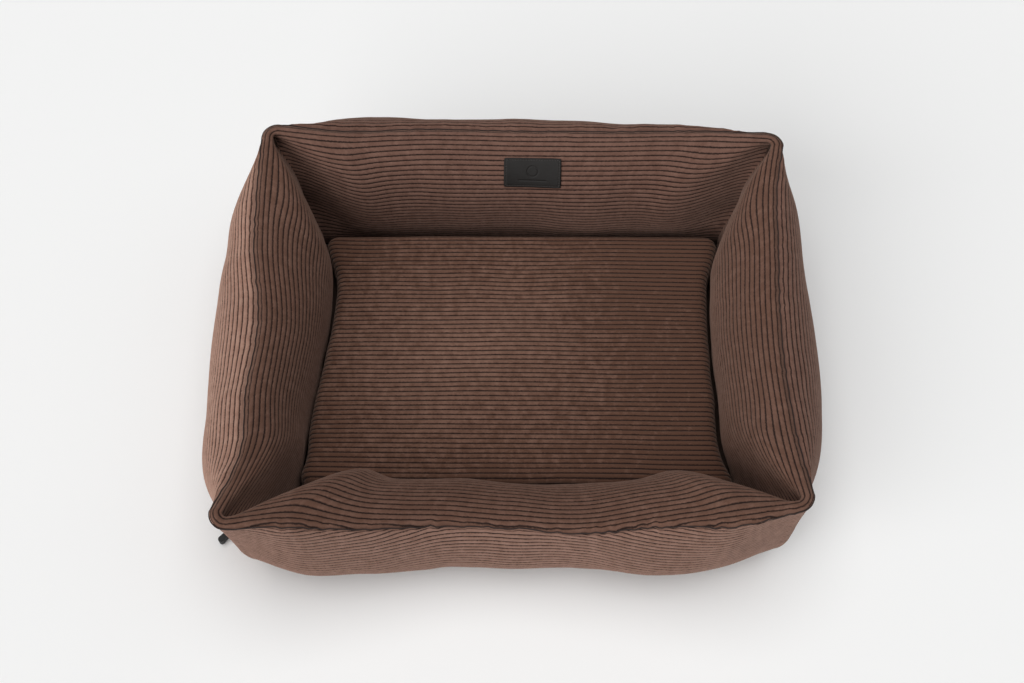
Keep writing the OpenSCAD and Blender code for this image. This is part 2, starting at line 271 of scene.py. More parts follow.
class Nodes:
    """Small helper that adds and links nodes in one tree."""

    def __init__(self, tree: bpy.types.NodeTree) -> None:
        """Keep the tree to work in."""
        self.tree = tree

    def add(self, kind: str, **settings: object) -> bpy.types.Node:
        """Add a node.

        Args:
            kind: Node type without its ShaderNode prefix, or a full type name.
            **settings: Attributes to set on the node.

        Returns:
            The new node.
        """
        full = kind if kind.startswith("NodeGroup") else "ShaderNode" + kind
        node = self.tree.nodes.new(full)
        for key, value in settings.items():
            setattr(node, key, value)
        return node

    def link(self, source: bpy.types.NodeSocket | float, target: bpy.types.NodeSocket) -> None:
        """Feed a socket or a plain number into an input."""
        if isinstance(source, bpy.types.NodeSocket):
            self.tree.links.new(source, target)
        else:
            target.default_value = source

    def math(self, operation: str, *values: bpy.types.NodeSocket | float,
             clamp: bool = False) -> bpy.types.NodeSocket:
        """Add a math node.

        Args:
            operation: Name of the operation.
            *values: Sockets or numbers for its inputs.
            clamp: Keep the result between 0 and 1.

        Returns:
            The node's output.
        """
        node = self.add("Math", operation=operation, use_clamp=clamp)
        for i, value in enumerate(values):
            self.link(value, node.inputs[i])
        return node.outputs[0]

    def mix(self, factor: bpy.types.NodeSocket | float, first: object,
            second: object) -> bpy.types.NodeSocket:
        """Mix two colours.

        Args:
            factor: Share of the second colour.
            first: A colour socket or an RGBA tuple.
            second: A colour socket or an RGBA tuple.

        Returns:
            The mixed colour's socket.
        """
        node = self.add("Mix", data_type="RGBA")
        self.link(factor, node.inputs["Factor"])
        self.link(first, node.inputs[6])
        self.link(second, node.inputs[7])
        return node.outputs[2]

    def about(self, value: bpy.types.NodeSocket, middle: float,
              gain: float) -> bpy.types.NodeSocket:
        """A value's distance above a middle, times a gain."""
        return self.math("MULTIPLY", self.math("SUBTRACT", value, middle), gain)

    def from_base(self, base: float, value: bpy.types.NodeSocket, gain: float,
                  clamp: bool = False) -> bpy.types.NodeSocket:
        """A base plus a value times a gain."""
        return self.math("ADD", base, self.math("MULTIPLY", value, gain), clamp=clamp)

    def blend(self, first: bpy.types.NodeSocket, first_share: bpy.types.NodeSocket | float,
              second: bpy.types.NodeSocket,
              second_share: bpy.types.NodeSocket | float) -> bpy.types.NodeSocket:
        """The sum of two values, each times its share."""
        return self.math("ADD", self.math("MULTIPLY", first, first_share),
                         self.math("MULTIPLY", second, second_share))

    def noise(self, vector: bpy.types.NodeSocket, scale: float, detail: float = 2.0,
              roughness: float = 0.5) -> bpy.types.NodeSocket:
        """Add a noise texture.

        Args:
            vector: Coordinates to read it at.
            scale: Cells per metre.
            detail: Number of octaves.
            roughness: Strength of the finer octaves.

        Returns:
            The noise value's socket.
        """
        node = self.add("TexNoise")
        node.inputs["Scale"].default_value = scale
        node.inputs["Detail"].default_value = detail
        node.inputs["Roughness"].default_value = roughness
        self.link(vector, node.inputs["Vector"])
        return node.outputs["Fac"]

    def rib_noise(self, parts: bpy.types.Node, per_metre: float, per_rib: float,
                  detail: float, roughness: float) -> bpy.types.NodeSocket:
        """Noise laid on the cloth, with its own scale along and across the ribs.

        Args:
            parts: Node that splits the cloth coordinates.
            per_metre: Cells per metre along the ribs.
            per_rib: Cells per rib across them.
            detail: Number of octaves.
            roughness: Strength of the finer octaves.

        Returns:
            The noise value's socket.
        """
        at = self.add("CombineXYZ")
        self.link(self.math("MULTIPLY", parts.outputs["X"], per_metre), at.inputs[0])
        self.link(self.math("MULTIPLY", parts.outputs["Y"], per_rib), at.inputs[1])
        return self.noise(at.outputs[0], 1.0, detail, roughness)


# Painted shade on the mattress: paler round one spot and darker towards the walls, most on the
# right; the spot's middle and its size, as a shift and a scale
SHADE_VIGNETTE_SHIFT = (0.26, 0.0, 0.0)
SHADE_VIGNETTE_SCALE = (3.4, 4.2, 0.0)
SHADE_VIGNETTE_MIDDLE = 0.62

# The groove between two ribs, in ribs: half of its flat floor, and its slope beside that
GROOVE_FLOOR = 0.055
GROOVE_SLOPE = 0.15


def corduroy_group() -> bpy.types.NodeTree:
    """Pile of wide-wale corduroy: ribs, grooves, nap and brushed patches, with painted light and
    shade: its own lighter or darker tone for each face, and a paler spot with darker edges.

    Returns:
        A group that takes cloth coordinates (metres, ribs) and object coordinates, and
        puts out a colour, a roughness and a height.
    """
    group = bpy.data.node_groups.new("corduroy_pile", "ShaderNodeTree")
    socket(group, "Cloth", "Vector")
    socket(group, "Object", "Vector")
    socket(group, "Rib", "Color", value=(0.2, 0.1, 0.07, 1))
    socket(group, "Groove", "Color", value=(0.03, 0.012, 0.01, 1))
    socket(group, "Brushed", "Color", value=(0.28, 0.16, 0.12, 1))
    socket(group, "Patchiness", "Float", value=0.5)
    socket(group, "Brushing", "Float", value=0.0)
    socket(group, "Worn", "Float", value=0.0)
    for name, kind in (("Color", "Color"), ("Roughness", "Float"), ("Height", "Float")):
        socket(group, name, kind, output=True)
    n = Nodes(group)
    given, out = n.add("NodeGroupInput"), n.add("NodeGroupOutput")
    parts = n.add("SeparateXYZ")
    n.link(given.outputs["Cloth"], parts.inputs[0])
    wobble = n.noise(given.outputs["Object"], 420, 2)
    phase = n.math("ADD", parts.outputs["Y"], n.about(wobble, 0.5, 0.24))
    distance = n.math("ABSOLUTE", n.math("SUBTRACT", n.math("FRACT", n.math(
        "ADD", phase, 0.5)), 0.5))
    groove = n.math("SUBTRACT", 1.0, n.math("DIVIDE", n.math(
        "SUBTRACT", distance, GROOVE_FLOOR), GROOVE_SLOPE, clamp=True), clamp=True)
    pile = n.noise(given.outputs["Object"], 1500, 3, 0.7)
    streak = n.rib_noise(parts, 220.0, 2.2, 3, 0.65)
    band = n.rib_noise(parts, 95.0, 0.45, 2, 0.5)
    patch = n.noise(given.outputs["Object"], 9, 3, 0.6)
    nap = n.math("ADD", n.about(streak, 0.5, 1.3), n.about(band, 0.5, 1.9))
    off_middle = n.add("Mapping")
    off_middle.inputs["Location"].default_value = SHADE_VIGNETTE_SHIFT
    off_middle.inputs["Scale"].default_value = SHADE_VIGNETTE_SCALE
    n.link(given.outputs["Object"], off_middle.inputs["Vector"])
    away = n.add("VectorMath", operation="LENGTH")
    n.link(off_middle.outputs[0], away.inputs[0])
    # Painted shade: the pile is paler round the spot and darker further from it, towards the walls
    worn = n.math("MULTIPLY", given.outputs["Worn"], n.math(
        "SUBTRACT", SHADE_VIGNETTE_MIDDLE, away.outputs["Value"]))
    # Share of the paler pile: a painted light share for the whole face, the painted shade spot, and
    # random brushed patches
    brushed = n.math("ADD", n.math("ADD", given.outputs["Brushing"], worn), n.math(
        "MULTIPLY", n.math("ADD", n.math("SUBTRACT", patch, 0.45), nap),
        given.outputs["Patchiness"]), clamp=True)
    rib = n.mix(brushed, given.outputs["Rib"], given.outputs["Brushed"])
    shade = n.from_base(0.86, pile, 0.28)
    tone = n.add("Mix", data_type="RGBA", blend_type="MULTIPLY")
    tone.inputs["Factor"].default_value = 1.0
    n.link(rib, tone.inputs[6])
    grey = n.add("CombineColor")
    for i in range(3):
        n.link(shade, grey.inputs[i])
    n.link(grey.outputs[0], tone.inputs[7])
    # The grooves take the dark groove colour: partly the ground weave, partly painted shade in the
    # recess between the ribs
    n.link(n.mix(groove, tone.outputs[2], given.outputs["Groove"]), out.inputs["Color"])
    n.link(n.from_base(0.82, pile, 0.16), out.inputs["Roughness"])
    n.link(n.math("MULTIPLY", n.blend(pile, 0.55, streak, 0.45),
                  n.math("SUBTRACT", 1.0, groove)), out.inputs["Height"])
    return group


def weave_group() -> bpy.types.NodeTree:
    """Plain weave of warp and weft threads.

    Returns:
        A group that takes coordinates in metres and a thread count, and puts out a
        shade and a height.
    """
    group = bpy.data.node_groups.new("plain_weave", "ShaderNodeTree")
    socket(group, "Object", "Vector")
    socket(group, "Threads per metre", "Float", value=1500.0)
    for name in ("Shade", "Height"):
        socket(group, name, "Float", output=True)
    n = Nodes(group)
    given, out = n.add("NodeGroupInput"), n.add("NodeGroupOutput")
    parts = n.add("SeparateXYZ")
    n.link(given.outputs["Object"], parts.inputs[0])
    waves = []
    for axis in ("X", "Y", "Z"):
        turn = n.math("MULTIPLY", parts.outputs[axis], given.outputs["Threads per metre"])
        waves.append(n.math("SINE", n.math("MULTIPLY", turn, math.pi)))
    over = n.blend(waves[0], waves[1], waves[1], waves[2])
    over = n.math("ADD", over, n.math("MULTIPLY", waves[0], waves[2]))
    height = n.from_base(0.5, over, 0.35, clamp=True)
    fuzz = n.noise(given.outputs["Object"], 700, 3, 0.6)
    n.link(n.blend(height, 0.5, fuzz, 0.7), out.inputs["Shade"])
    n.link(height, out.inputs["Height"])
    return group


def grain_group() -> bpy.types.NodeTree:
    """Leather grain with fine pores and rubbed high spots.

    Returns:
        A group that puts out a shade, a roughness and a height.
    """
    group = bpy.data.node_groups.new("leather_grain", "ShaderNodeTree")
    socket(group, "Object", "Vector")
    for name in ("Shade", "Roughness", "Height"):
        socket(group, name, "Float", output=True)
    n = Nodes(group)
    given, out = n.add("NodeGroupInput"), n.add("NodeGroupOutput")
    cells = n.add("TexVoronoi", feature="DISTANCE_TO_EDGE")
    cells.inputs["Scale"].default_value = 900
    n.link(given.outputs["Object"], cells.inputs["Vector"])
    edge = n.math("MULTIPLY", cells.outputs["Distance"], 3.0, clamp=True)
    haze = n.noise(given.outputs["Object"], 70, 4, 0.6)
    n.link(n.blend(edge, 0.35, haze, 0.9), out.inputs["Shade"])
    n.link(n.from_base(0.42, haze, 0.3), out.inputs["Roughness"])
    n.link(edge, out.inputs["Height"])
    return group


# ---------------------------------------------------------------- finishes


def start_material(name: str) -> tuple[bpy.types.Material, Nodes, bpy.types.Node]:
    """Make an empty node material.

    Args:
        name: Name of the material.

    Returns:
        The material, its node helper and its Principled shader.
    """
    material = bpy.data.materials.new(name)
    material.use_nodes = True
    nodes = Nodes(material.node_tree)
    return material, nodes, material.node_tree.nodes["Principled BSDF"]


def add_bump(n: Nodes, shader: bpy.types.Node, height: bpy.types.NodeSocket,
             distance: float, strength: float) -> None:
    """Drive a shader's normal from a height.

    Args:
        n: Helper of the material's tree.
        shader: The Principled shader.
        height: Height from 0 to 1.
        distance: Height in metres that 1 stands for.
        strength: Share of the effect.
    """
    bump = n.add("Bump")
    bump.inputs["Distance"].default_value = distance
    bump.inputs["Strength"].default_value = strength
    n.link(height, bump.inputs["Height"])
    n.link(bump.outputs[0], shader.inputs["Normal"])


@dataclass(frozen=True)
class CorduroyFinish:
    """Brown wide-wale corduroy."""

    group: bpy.types.NodeTree
    rib: tuple
    brushed: tuple
    # Groove colour: the ground weave with painted shade of the recess
    groove: tuple = (0.012, 0.005, 0.004, 1)
    patchiness: float = 0.75
    brushing: float = 0.15
    worn: float = 0.0
    sheen: float = 0.26
    nap_height: float = 0.0005

    def make(self, name: str) -> bpy.types.Material:
        """Build the material.

        Args:
            name: Name of the material.

        Returns:
            The material.
        """
        material, n, shader = start_material(name)
        cloth = n.add("UVMap", uv_map=CLOTH_UV)
        place = n.add("TexCoord")
        pile = n.add("Group", node_tree=self.group)
        n.link(cloth.outputs[0], pile.inputs["Cloth"])
        n.link(place.outputs["Object"], pile.inputs["Object"])
        pile.inputs["Rib"].default_value = self.rib
        pile.inputs["Groove"].default_value = self.groove
        pile.inputs["Brushed"].default_value = self.brushed
        pile.inputs["Patchiness"].default_value = self.patchiness
        pile.inputs["Brushing"].default_value = self.brushing
        pile.inputs["Worn"].default_value = self.worn
        n.link(pile.outputs["Color"], shader.inputs["Base Color"])
        n.link(pile.outputs["Roughness"], shader.inputs["Roughness"])
        shader.inputs["Specular IOR Level"].default_value = 0.15
        shader.inputs["Sheen Weight"].default_value = self.sheen
        shader.inputs["Sheen Roughness"].default_value = 0.55
        shader.inputs["Sheen Tint"].default_value = (0.75, 0.55, 0.46, 1)
        add_bump(n, shader, pile.outputs["Height"], self.nap_height, 0.7)
        return material


@dataclass(frozen=True)
class WovenFinish:
    """A plain woven cloth, tape or thread."""

    group: bpy.types.NodeTree
    dark: tuple
    light: tuple
    threads: float = 1500.0
    roughness: float = 0.85
    sheen: float = 0.1
    relief: float = 0.0003

    def make(self, name: str) -> bpy.types.Material:
        """Build the material and return it."""
        material, n, shader = start_material(name)
        place = n.add("TexCoord")
        weave = n.add("Group", node_tree=self.group)
        n.link(place.outputs["Object"], weave.inputs["Object"])
        weave.inputs["Threads per metre"].default_value = self.threads
        n.link(n.mix(weave.outputs["Shade"], self.dark, self.light),
               shader.inputs["Base Color"])
        shader.inputs["Roughness"].default_value = self.roughness
        shader.inputs["Sheen Weight"].default_value = self.sheen
        add_bump(n, shader, weave.outputs["Height"], self.relief, 0.6)
        return material


@dataclass(frozen=True)
class LeatherFinish:
    """Dark debossed leather."""

    group: bpy.types.NodeTree
    dark: tuple = (0.005, 0.004, 0.0035, 1)
    light: tuple = (0.011, 0.0090, 0.008, 1)

    def make(self, name: str) -> bpy.types.Material:
        """Build the material and return it."""
        material, n, shader = start_material(name)
        place = n.add("TexCoord")
        grain = n.add("Group", node_tree=self.group)
        n.link(place.outputs["Object"], grain.inputs["Object"])
        n.link(n.mix(grain.outputs["Shade"], self.dark, self.light),
               shader.inputs["Base Color"])
        n.link(grain.outputs["Roughness"], shader.inputs["Roughness"])
        shader.inputs["Specular IOR Level"].default_value = 0.3
        add_bump(n, shader, grain.outputs["Height"], 0.0002, 0.5)
        return material


@dataclass(frozen=True)
class HardFinish:
    """Enamelled metal or moulded plastic with rubbed patches."""

    dark: tuple
    worn: tuple
    roughness: float
    metallic: float = 0.0

    def make(self, name: str) -> bpy.types.Material:
        """Build the material and return it."""
        material, n, shader = start_material(name)
        place = n.add("TexCoord")
        rub = n.noise(place.outputs["Object"], 260, 4, 0.6)
        n.link(n.mix(n.math("MULTIPLY", n.math("SUBTRACT", rub, 0.45), 2.0, clamp=True),
                     self.dark, self.worn), shader.inputs["Base Color"])
        n.link(n.from_base(self.roughness - 0.1, rub, 0.2), shader.inputs["Roughness"])
        shader.inputs["Metallic"].default_value = self.metallic
        add_bump(n, shader, n.noise(place.outputs["Object"], 1800, 2), 0.00008, 0.4)
        return material


@dataclass
class Finishes:
    """Every finish of the bed, made once."""

    made: dict = field(default_factory=dict)

    def build(self) -> "Finishes":
        """Make all materials and return this object."""
        corduroy, weave, grain = corduroy_group(), weave_group(), grain_group()
        # Each copy of the corduroy has its own tone for the faces it covers: painted light and shade
        # of how the lamps fall, with some nap. The inner faces and the mattress are darkest and the
        # left outer face is lightest.
        naps = {
            "inner": CorduroyFinish(corduroy, (0.108, 0.053, 0.036, 1), (0.185, 0.102, 0.076, 1)),
            "nap_dark": CorduroyFinish(corduroy, (0.115, 0.058, 0.042, 1),
                                       (0.190, 0.105, 0.080, 1), brushing=0.30),
            "nap_middle": CorduroyFinish(corduroy, (0.150, 0.078, 0.055, 1),
                                         (0.245, 0.142, 0.110, 1), brushing=0.50),
            "nap_light": CorduroyFinish(corduroy, (0.245, 0.130, 0.094, 1),
                                        (0.370, 0.225, 0.172, 1), (0.026, 0.010, 0.008, 1),
                                        brushing=0.45),
            "mattress": CorduroyFinish(corduroy, (0.088, 0.041, 0.026, 1),
                                       # The mattress's pale middle and darker edges are painted
                                       # shade
                                       (0.200, 0.110, 0.080, 1), worn=0.95),
        }
        for name, finish in naps.items():
            self.made[name] = finish.make("corduroy_" + name)
        woven = {
            "thread": WovenFinish(weave, (0.012, 0.006, 0.005, 1), (0.03, 0.016, 0.013, 1),
                                  sheen=0.0),
            "label_thread": WovenFinish(weave, (0.02, 0.017, 0.015, 1),
                                        (0.06, 0.05, 0.045, 1), 3000.0),
            "base": WovenFinish(weave, (0.008, 0.008, 0.008, 1), (0.03, 0.029, 0.028, 1), 900.0),
            "lining": WovenFinish(weave, (0.04, 0.022, 0.016, 1), (0.11, 0.062, 0.045, 1)),
            "tape": WovenFinish(weave, (0.006, 0.006, 0.006, 1), (0.022, 0.021, 0.021, 1)),
        }
        for name, finish in woven.items():
            self.made[name] = finish.make("woven_" + name)
        self.made["leather"] = LeatherFinish(grain).make("label_leather")
        hard = {
            "metal": HardFinish((0.012, 0.012, 0.012, 1), (0.06, 0.058, 0.055, 1), 0.35, 0.6),
            "teeth": HardFinish((0.01, 0.01, 0.01, 1), (0.03, 0.03, 0.03, 1), 0.5),
            "tab": HardFinish((0.008, 0.008, 0.008, 1), (0.02, 0.02, 0.02, 1), 0.6),
            "dots": HardFinish((0.02, 0.02, 0.02, 1), (0.05, 0.05, 0.05, 1), 0.75),
        }
        for name, finish in hard.items():
            self.made[name] = finish.make("hard_" + name)
        return self

    def __getitem__(self, name: str) -> bpy.types.Material:
        """The material of that name."""
        return self.made[name]


# ---------------------------------------------------------------- walls


@dataclass(frozen=True)
class Corner:
    """Sizes that every wall shares at its two ends, in metres from the peak line."""

    bulge_out: float = -0.0055
    bulge_in: float = 0.064
    foot_out: float = -0.029
    foot_in: float = 0.052
    packed_out: float = 0.005
    packed_trim: float = 0.00106
    rim_radius: float = 0.020
    crease_radius: float = 0.0016
    crease_depth: float = 0.032
    crease_drop: float = 0.009
    crease_reach: float = 0.020
    crease_narrow: float = 0.42
    crease_widens: tuple = (0.015, 0.085)
    crease_opens: tuple = (0.012, 0.034)
    crease_closes: tuple = (0.13, 0.20)
    hole_opens: tuple = (0.010, 0.024)
    hole_closes: tuple = (0.04, 0.10)
    puff: float = 0.008
    puff_at: float = 0.042
    puff_width: float = 0.022


@dataclass(frozen=True)
class Pull:
    """How far one corner is dragged out of square, in metres, at its peak and foot."""

    right: float
    back: float
    foot_back: float


PULLS = {(-1, 1): Pull(0.000, 0.009, 0.007), (1, 1): Pull(0.005, -0.005, 0.006),
         (1, -1): Pull(-0.003, 0.0105, 0.022), (-1, -1): Pull(-0.004, -0.014, 0.004)}


@dataclass(frozen=True)
class Ripple:
    """One layer of uneven cloth, in metres; it dies away from the seam or the foot."""

    height: float
    along: float
    down: float
    reach: float = math.inf
    at_foot: bool = False

    def read(self, cloth: dict, seed: int) -> np.ndarray:
        """Height of the layer at each point of a face.

        Args:
            cloth: The face's smooth surface.
            seed: Seed of the layer.

        Returns:
            Heights in metres.
        """
        down = cloth["from_foot" if self.at_foot else "from_seam"]
        noise = smooth_noise(cloth["along"] / self.along, down / self.down, seed)
        return self.height * np.exp(-down / self.reach) * noise


LUMPS = (Ripple(0.0020, 0.085, 0.075, at_foot=True), Ripple(0.0008, 0.038, 0.050, at_foot=True))
GATHERS = (Ripple(0.0012, 0.014, 0.060, 0.020), Ripple(0.0012, 0.040, 0.090, 0.055),
           Ripple(0.0016, 0.020, 0.080, 0.030, at_foot=True))
PUCKERS = (Ripple(0.0009, 0.0045, 0.020, 0.007),)

# How far the front wall's ribs run out at its low top instead of following the seam
FRONT_RUN_OUT = {Face.OUTER: 1.0, Face.INNER: 0.35}


@dataclass
class Wall:
    """One stuffed wall: an inner and an outer corduroy panel round its fill.

    The sizes at the marks run along the wall from its left to its right end as seen
    from outside the bed when the wall is at the rear.
    """

    side: Side
    marks: tuple
    seam_h: tuple
    seam_w: tuple
    bulge_out: tuple
    bulge_in: tuple
    foot_out: float
    foot_in: float
    step: float
    seed: int
    # Finishes of the outer and inner face: copies of the corduroy, each with painted light and shade
    # for its face
    nap: str
    inner_nap: str = "inner"
    widest_at: float = 0.5
    straight_to: float = 0.75
    slack: float = 0.0
    seam_wander: float = 0.0007
    corner: Corner = Corner()
    row_step: float = 0.00105
    floor: float = 0.002
    band_h: float = 0.016
    inner_floor: float = 0.012
    groove_depth: float = 0.0046
    groove_width: float = 0.0026
    lumps_from_seam: float = 0.03
    lumps_from_foot: float = 0.02
    gathers_from: float = 0.006
    puckers_from: float = 0.002
    still_corner: float = 0.030
    wander_length: float = 0.007
    wander_reach: float = 0.008
    flat_at_seam: float = 0.0022
    bunching: float = 0.045
    low_points: int = 60
    high_points: int = 120
    arc_steps: int = 10

    def name(self) -> str:
        """Name of the wall's piece."""
        return self.side.name.lower() + "_wall"

    def set_out(self) -> None:
        """Take the wall's length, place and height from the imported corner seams."""
        low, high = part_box("rear_left_corner_seam")
        front_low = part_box("front_left_corner_seam")[0]
        out = self.corner.packed_out + self.corner.packed_trim
        side_x = -(low.x + out)
        rear_y, front_y = high.y - out, -(front_low.y + out)
        self.peak_h = high.z
        half_depth = (rear_y + front_y) / 2
        sideways = self.side in (Side.LEFT, Side.RIGHT)
        self.half = half_depth if sideways else side_x
        self.peak = side_x if sideways else half_depth
        self.half_plan = np.array([side_x, half_depth])
        self.middle = np.array([0.0, (rear_y - front_y) / 2, 0.0])

    def stations(self) -> tuple[np.ndarray, np.ndarray]:
        """Stations along the wall from corner to corner.

        Returns:
            For each station its place s from -1 to 1, and its turn in radians round
            the corner, which is 0 on the straight stretch.
        """
        count = int(2 * self.half / self.step)
        arc = np.linspace(0, math.pi / 4, self.arc_steps + 1)[1:]
        even = np.linspace(-1, 1, count)
        straight = even + self.bunching * even * (1 - even ** 2) * (even ** 2)
        s = np.concatenate([-np.ones(len(arc)), straight, np.ones(len(arc))])
        turn = np.concatenate([-arc[::-1], np.zeros(count), arc])
        return s, turn

    def run(self, end: float, sizes: tuple, s: np.ndarray) -> np.ndarray:
        """A size along the wall that is the same at both ends."""
        return smooth_curve(s, (-1.0, *self.marks, 1.0), (end, *sizes, end))

    def section(self, s: np.ndarray, face: Face) -> tuple[np.ndarray, np.ndarray]:
        """Cross-section of one face at each station, from the foot to the top seam.

        Args:
            s: Places along the wall from -1 to 1.
            face: Outer or inner face.

        Returns:
            Outward offsets from the peak line and heights, of shape (stations, points).
        """
        c, sign = self.corner, face.value
        fullness = 1 - s ** 4
        if face is Face.OUTER:
            spread = fullness
            # A side wall's foot stays straight for longer, because a zip lies along it
            if self.side in (Side.LEFT, Side.RIGHT):
                spread = np.clip((1 - np.abs(s)) / (1 - self.straight_to), 0, 1)
            foot = c.foot_out + (self.foot_out - c.foot_out) * spread
            full = self.run(c.bulge_out, self.bulge_out, s)
            foot_z = self.band_h
        else:
            foot = -(c.foot_in + (self.foot_in - c.foot_in) * fullness)
            full = -self.run(c.bulge_in, self.bulge_in, s)
            foot_z = self.inner_floor
        top = self.run(self.peak_h, self.seam_h, s)
        seam = self.run(0.0, self.seam_w, s) + sign * 0.0006
        widest = foot_z + (top - foot_z) * (self.widest_at if face is Face.OUTER else 0.5)
        slack = self.slack if face is Face.OUTER else 0.0
        low = np.linspace(0, math.pi / 2, self.low_points)[None, :]
        high = np.linspace(0, math.pi / 2, self.high_points)[None, 1:]
        foot, full, top, seam, widest = (v[:, None] for v in (foot, full, top, seam, widest))
        round_w, round_z = np.cos(high), np.sin(high)
        over_w = (1 - slack) * round_w + slack * (1 - high * 2 / math.pi)
        over_z = (1 - slack) * round_z + slack * high * 2 / math.pi
        w = np.concatenate([foot, foot + (full - foot) * np.sin(low),
                            seam + (full - seam) * over_w], axis=1)
        z = np.concatenate([np.full_like(foot, self.floor),
                            foot_z + (widest - foot_z) * (1 - np.cos(low)),
                            widest + (top - widest) * over_z], axis=1)
        return w, z

    def normals(self, points: np.ndarray, face: Face) -> np.ndarray:
        """Outward normals of one face; on the corner diagonals they lie in the diagonal.

        Args:
            points: Grid of points in the wall's own frame.
            face: Outer or inner face.

        Returns:
            Unit normals.
        """
        normal = grid_normals(points) * -face.value
        for end, lean in ((0, 1.0), (-1, -1.0)):
            mitre = np.array([1.0, lean, 0.0]) / math.sqrt(2)
            flat = normal[end] - (normal[end] @ mitre)[:, None] * mitre
            normal[end] = flat / np.maximum(np.linalg.norm(flat, axis=1, keepdims=True), 1e-9)
        return normal

    def surface(self, face: Face) -> dict:
        """The smooth cloth of one face, before its wrinkles and ribs.

        Args:
            face: Outer or inner face.

        Returns:
            Points of shape (stations, rows, 3) in the wall's own frame, with each
            point's distances along the wall, from the seam, foot and corner, and its
            rib phase.
        """
        s, turn = self.stations()
        w, z = self.section(s, face)
        length = np.concatenate([np.zeros((len(s), 1)), np.cumsum(
            np.hypot(np.diff(w, axis=1), np.diff(z, axis=1)), axis=1)], axis=1)
        total = length[:, -1]
        rows = int(total.max() / self.row_step) + 1
        share = np.linspace(0, 1, rows)
        w = np.stack([np.interp(share * t, l, v) for t, l, v in zip(total, length, w)])
        z = np.stack([np.interp(share * t, l, v) for t, l, v in zip(total, length, z)])
        from_foot = share[None, :] * total[:, None]
        from_seam = total[:, None] - from_foot
        c = self.corner
        room = c.rim_radius + w
        bend = 0.5 * (room + np.sqrt(room * room + 4 * c.crease_radius ** 2))
        start = self.half + w - bend
        x = s[:, None] * start + bend * np.sin(turn)[:, None]
        y = self.peak + w - bend + bend * np.cos(turn)[:, None]
        from_corner = np.maximum(self.half + y - self.peak - np.abs(x), 0) / math.sqrt(2)
        if face is Face.INNER:
            back, drop = self.crease(from_corner, from_seam)
            x = x + np.sign(s)[:, None] * back / math.sqrt(2)
            y = y + back / math.sqrt(2)
            z = z - drop
        run_out = FRONT_RUN_OUT[face] if self.side is Side.FRONT else 0.0
        phase = from_seam + run_out * (total[-1] - total)[:, None]
        return {"points": np.stack([x, y, z], axis=2), "s": s, "from_corner": from_corner,
                "along": np.broadcast_to(x[:, -1:], x.shape), "from_seam": from_seam,
                "from_foot": from_foot, "phase": phase / WALE_PITCH + 0.35}

    def crease(self, from_corner: np.ndarray, from_seam: np.ndarray
               ) -> tuple[np.ndarray, np.ndarray]:
        """Deep crease between two stuffed walls, where the inner cloth is held back.

        Args:
            from_corner: Distance of each point from the corner's diagonal.
            from_seam: Distance of each point from the top seam along the cloth.

        Returns:
            How far each point goes back into the corner and down, in metres.
        """
        c = self.corner
        reach = c.crease_reach * (c.crease_narrow + (1 - c.crease_narrow)
                                  * ease(from_seam, *c.crease_widens))
        held = np.exp(-((from_corner / reach) ** 2)) - c.puff / c.crease_depth * np.exp(
            -(((from_corner - c.puff_at) / c.puff_width) ** 2))
        depth = ease(from_seam, *c.crease_opens) * (1 - ease(from_seam, *c.crease_closes))
        hole = ease(from_seam, *c.hole_opens) * (1 - ease(from_seam, *c.hole_closes))
        return c.crease_depth * depth * held, c.crease_drop * hole * np.maximum(held, 0)

    def wrinkles(self, cloth: dict, face: Face) -> np.ndarray:
        """Lumps of the fill and gathers at the seams.

        Args:
            cloth: The face's smooth surface.
            face: Outer or inner face.

        Returns:
            Offset along the normal of each point, in metres.
        """
        seam, foot = cloth["from_seam"], cloth["from_foot"]
        seed = self.seed * 10 + (face is Face.INNER)
        layers = [ripple.read(cloth, seed + 100 * i)
                  for i, ripple in enumerate(LUMPS + GATHERS + PUCKERS)]
        lumps, gathers = sum(layers[:len(LUMPS)]), sum(layers[len(LUMPS):-len(PUCKERS)])
        offset = (lumps * ease(seam, 0, self.lumps_from_seam) * ease(foot, 0, self.lumps_from_foot)
                  + gathers * (1 - np.exp(-((seam / self.gathers_from) ** 2)))
                  + layers[-1] * (1 - np.exp(-((seam / self.puckers_from) ** 2))))
        return offset * ease(cloth["from_corner"], 0, self.still_corner)

    def place(self, points: np.ndarray) -> np.ndarray:
        """Turn points from the wall's own frame into the bed's frame."""
        turn = self.side.value * math.pi / 2
        cos, sin = round(math.cos(turn)), round(math.sin(turn))
        turned = np.stack([cos * points[..., 0] - sin * points[..., 1],
                           sin * points[..., 0] + cos * points[..., 1], points[..., 2]], axis=-1)
        u, v = (turned[..., :2] / self.half_plan).transpose(-1, *range(turned.ndim - 1))
        rise = np.clip(turned[..., 2] / self.peak_h, 0, 1)
        for (right, back), pull in PULLS.items():
            share = np.clip((1 + right * u) / 2, 0, 1.05) * np.clip((1 + back * v) / 2, 0, 1.05)
            turned[..., 0] += share * rise * pull.right
            turned[..., 1] += share * (rise * pull.back + (1 - rise) * pull.foot_back)
        return turned + self.middle

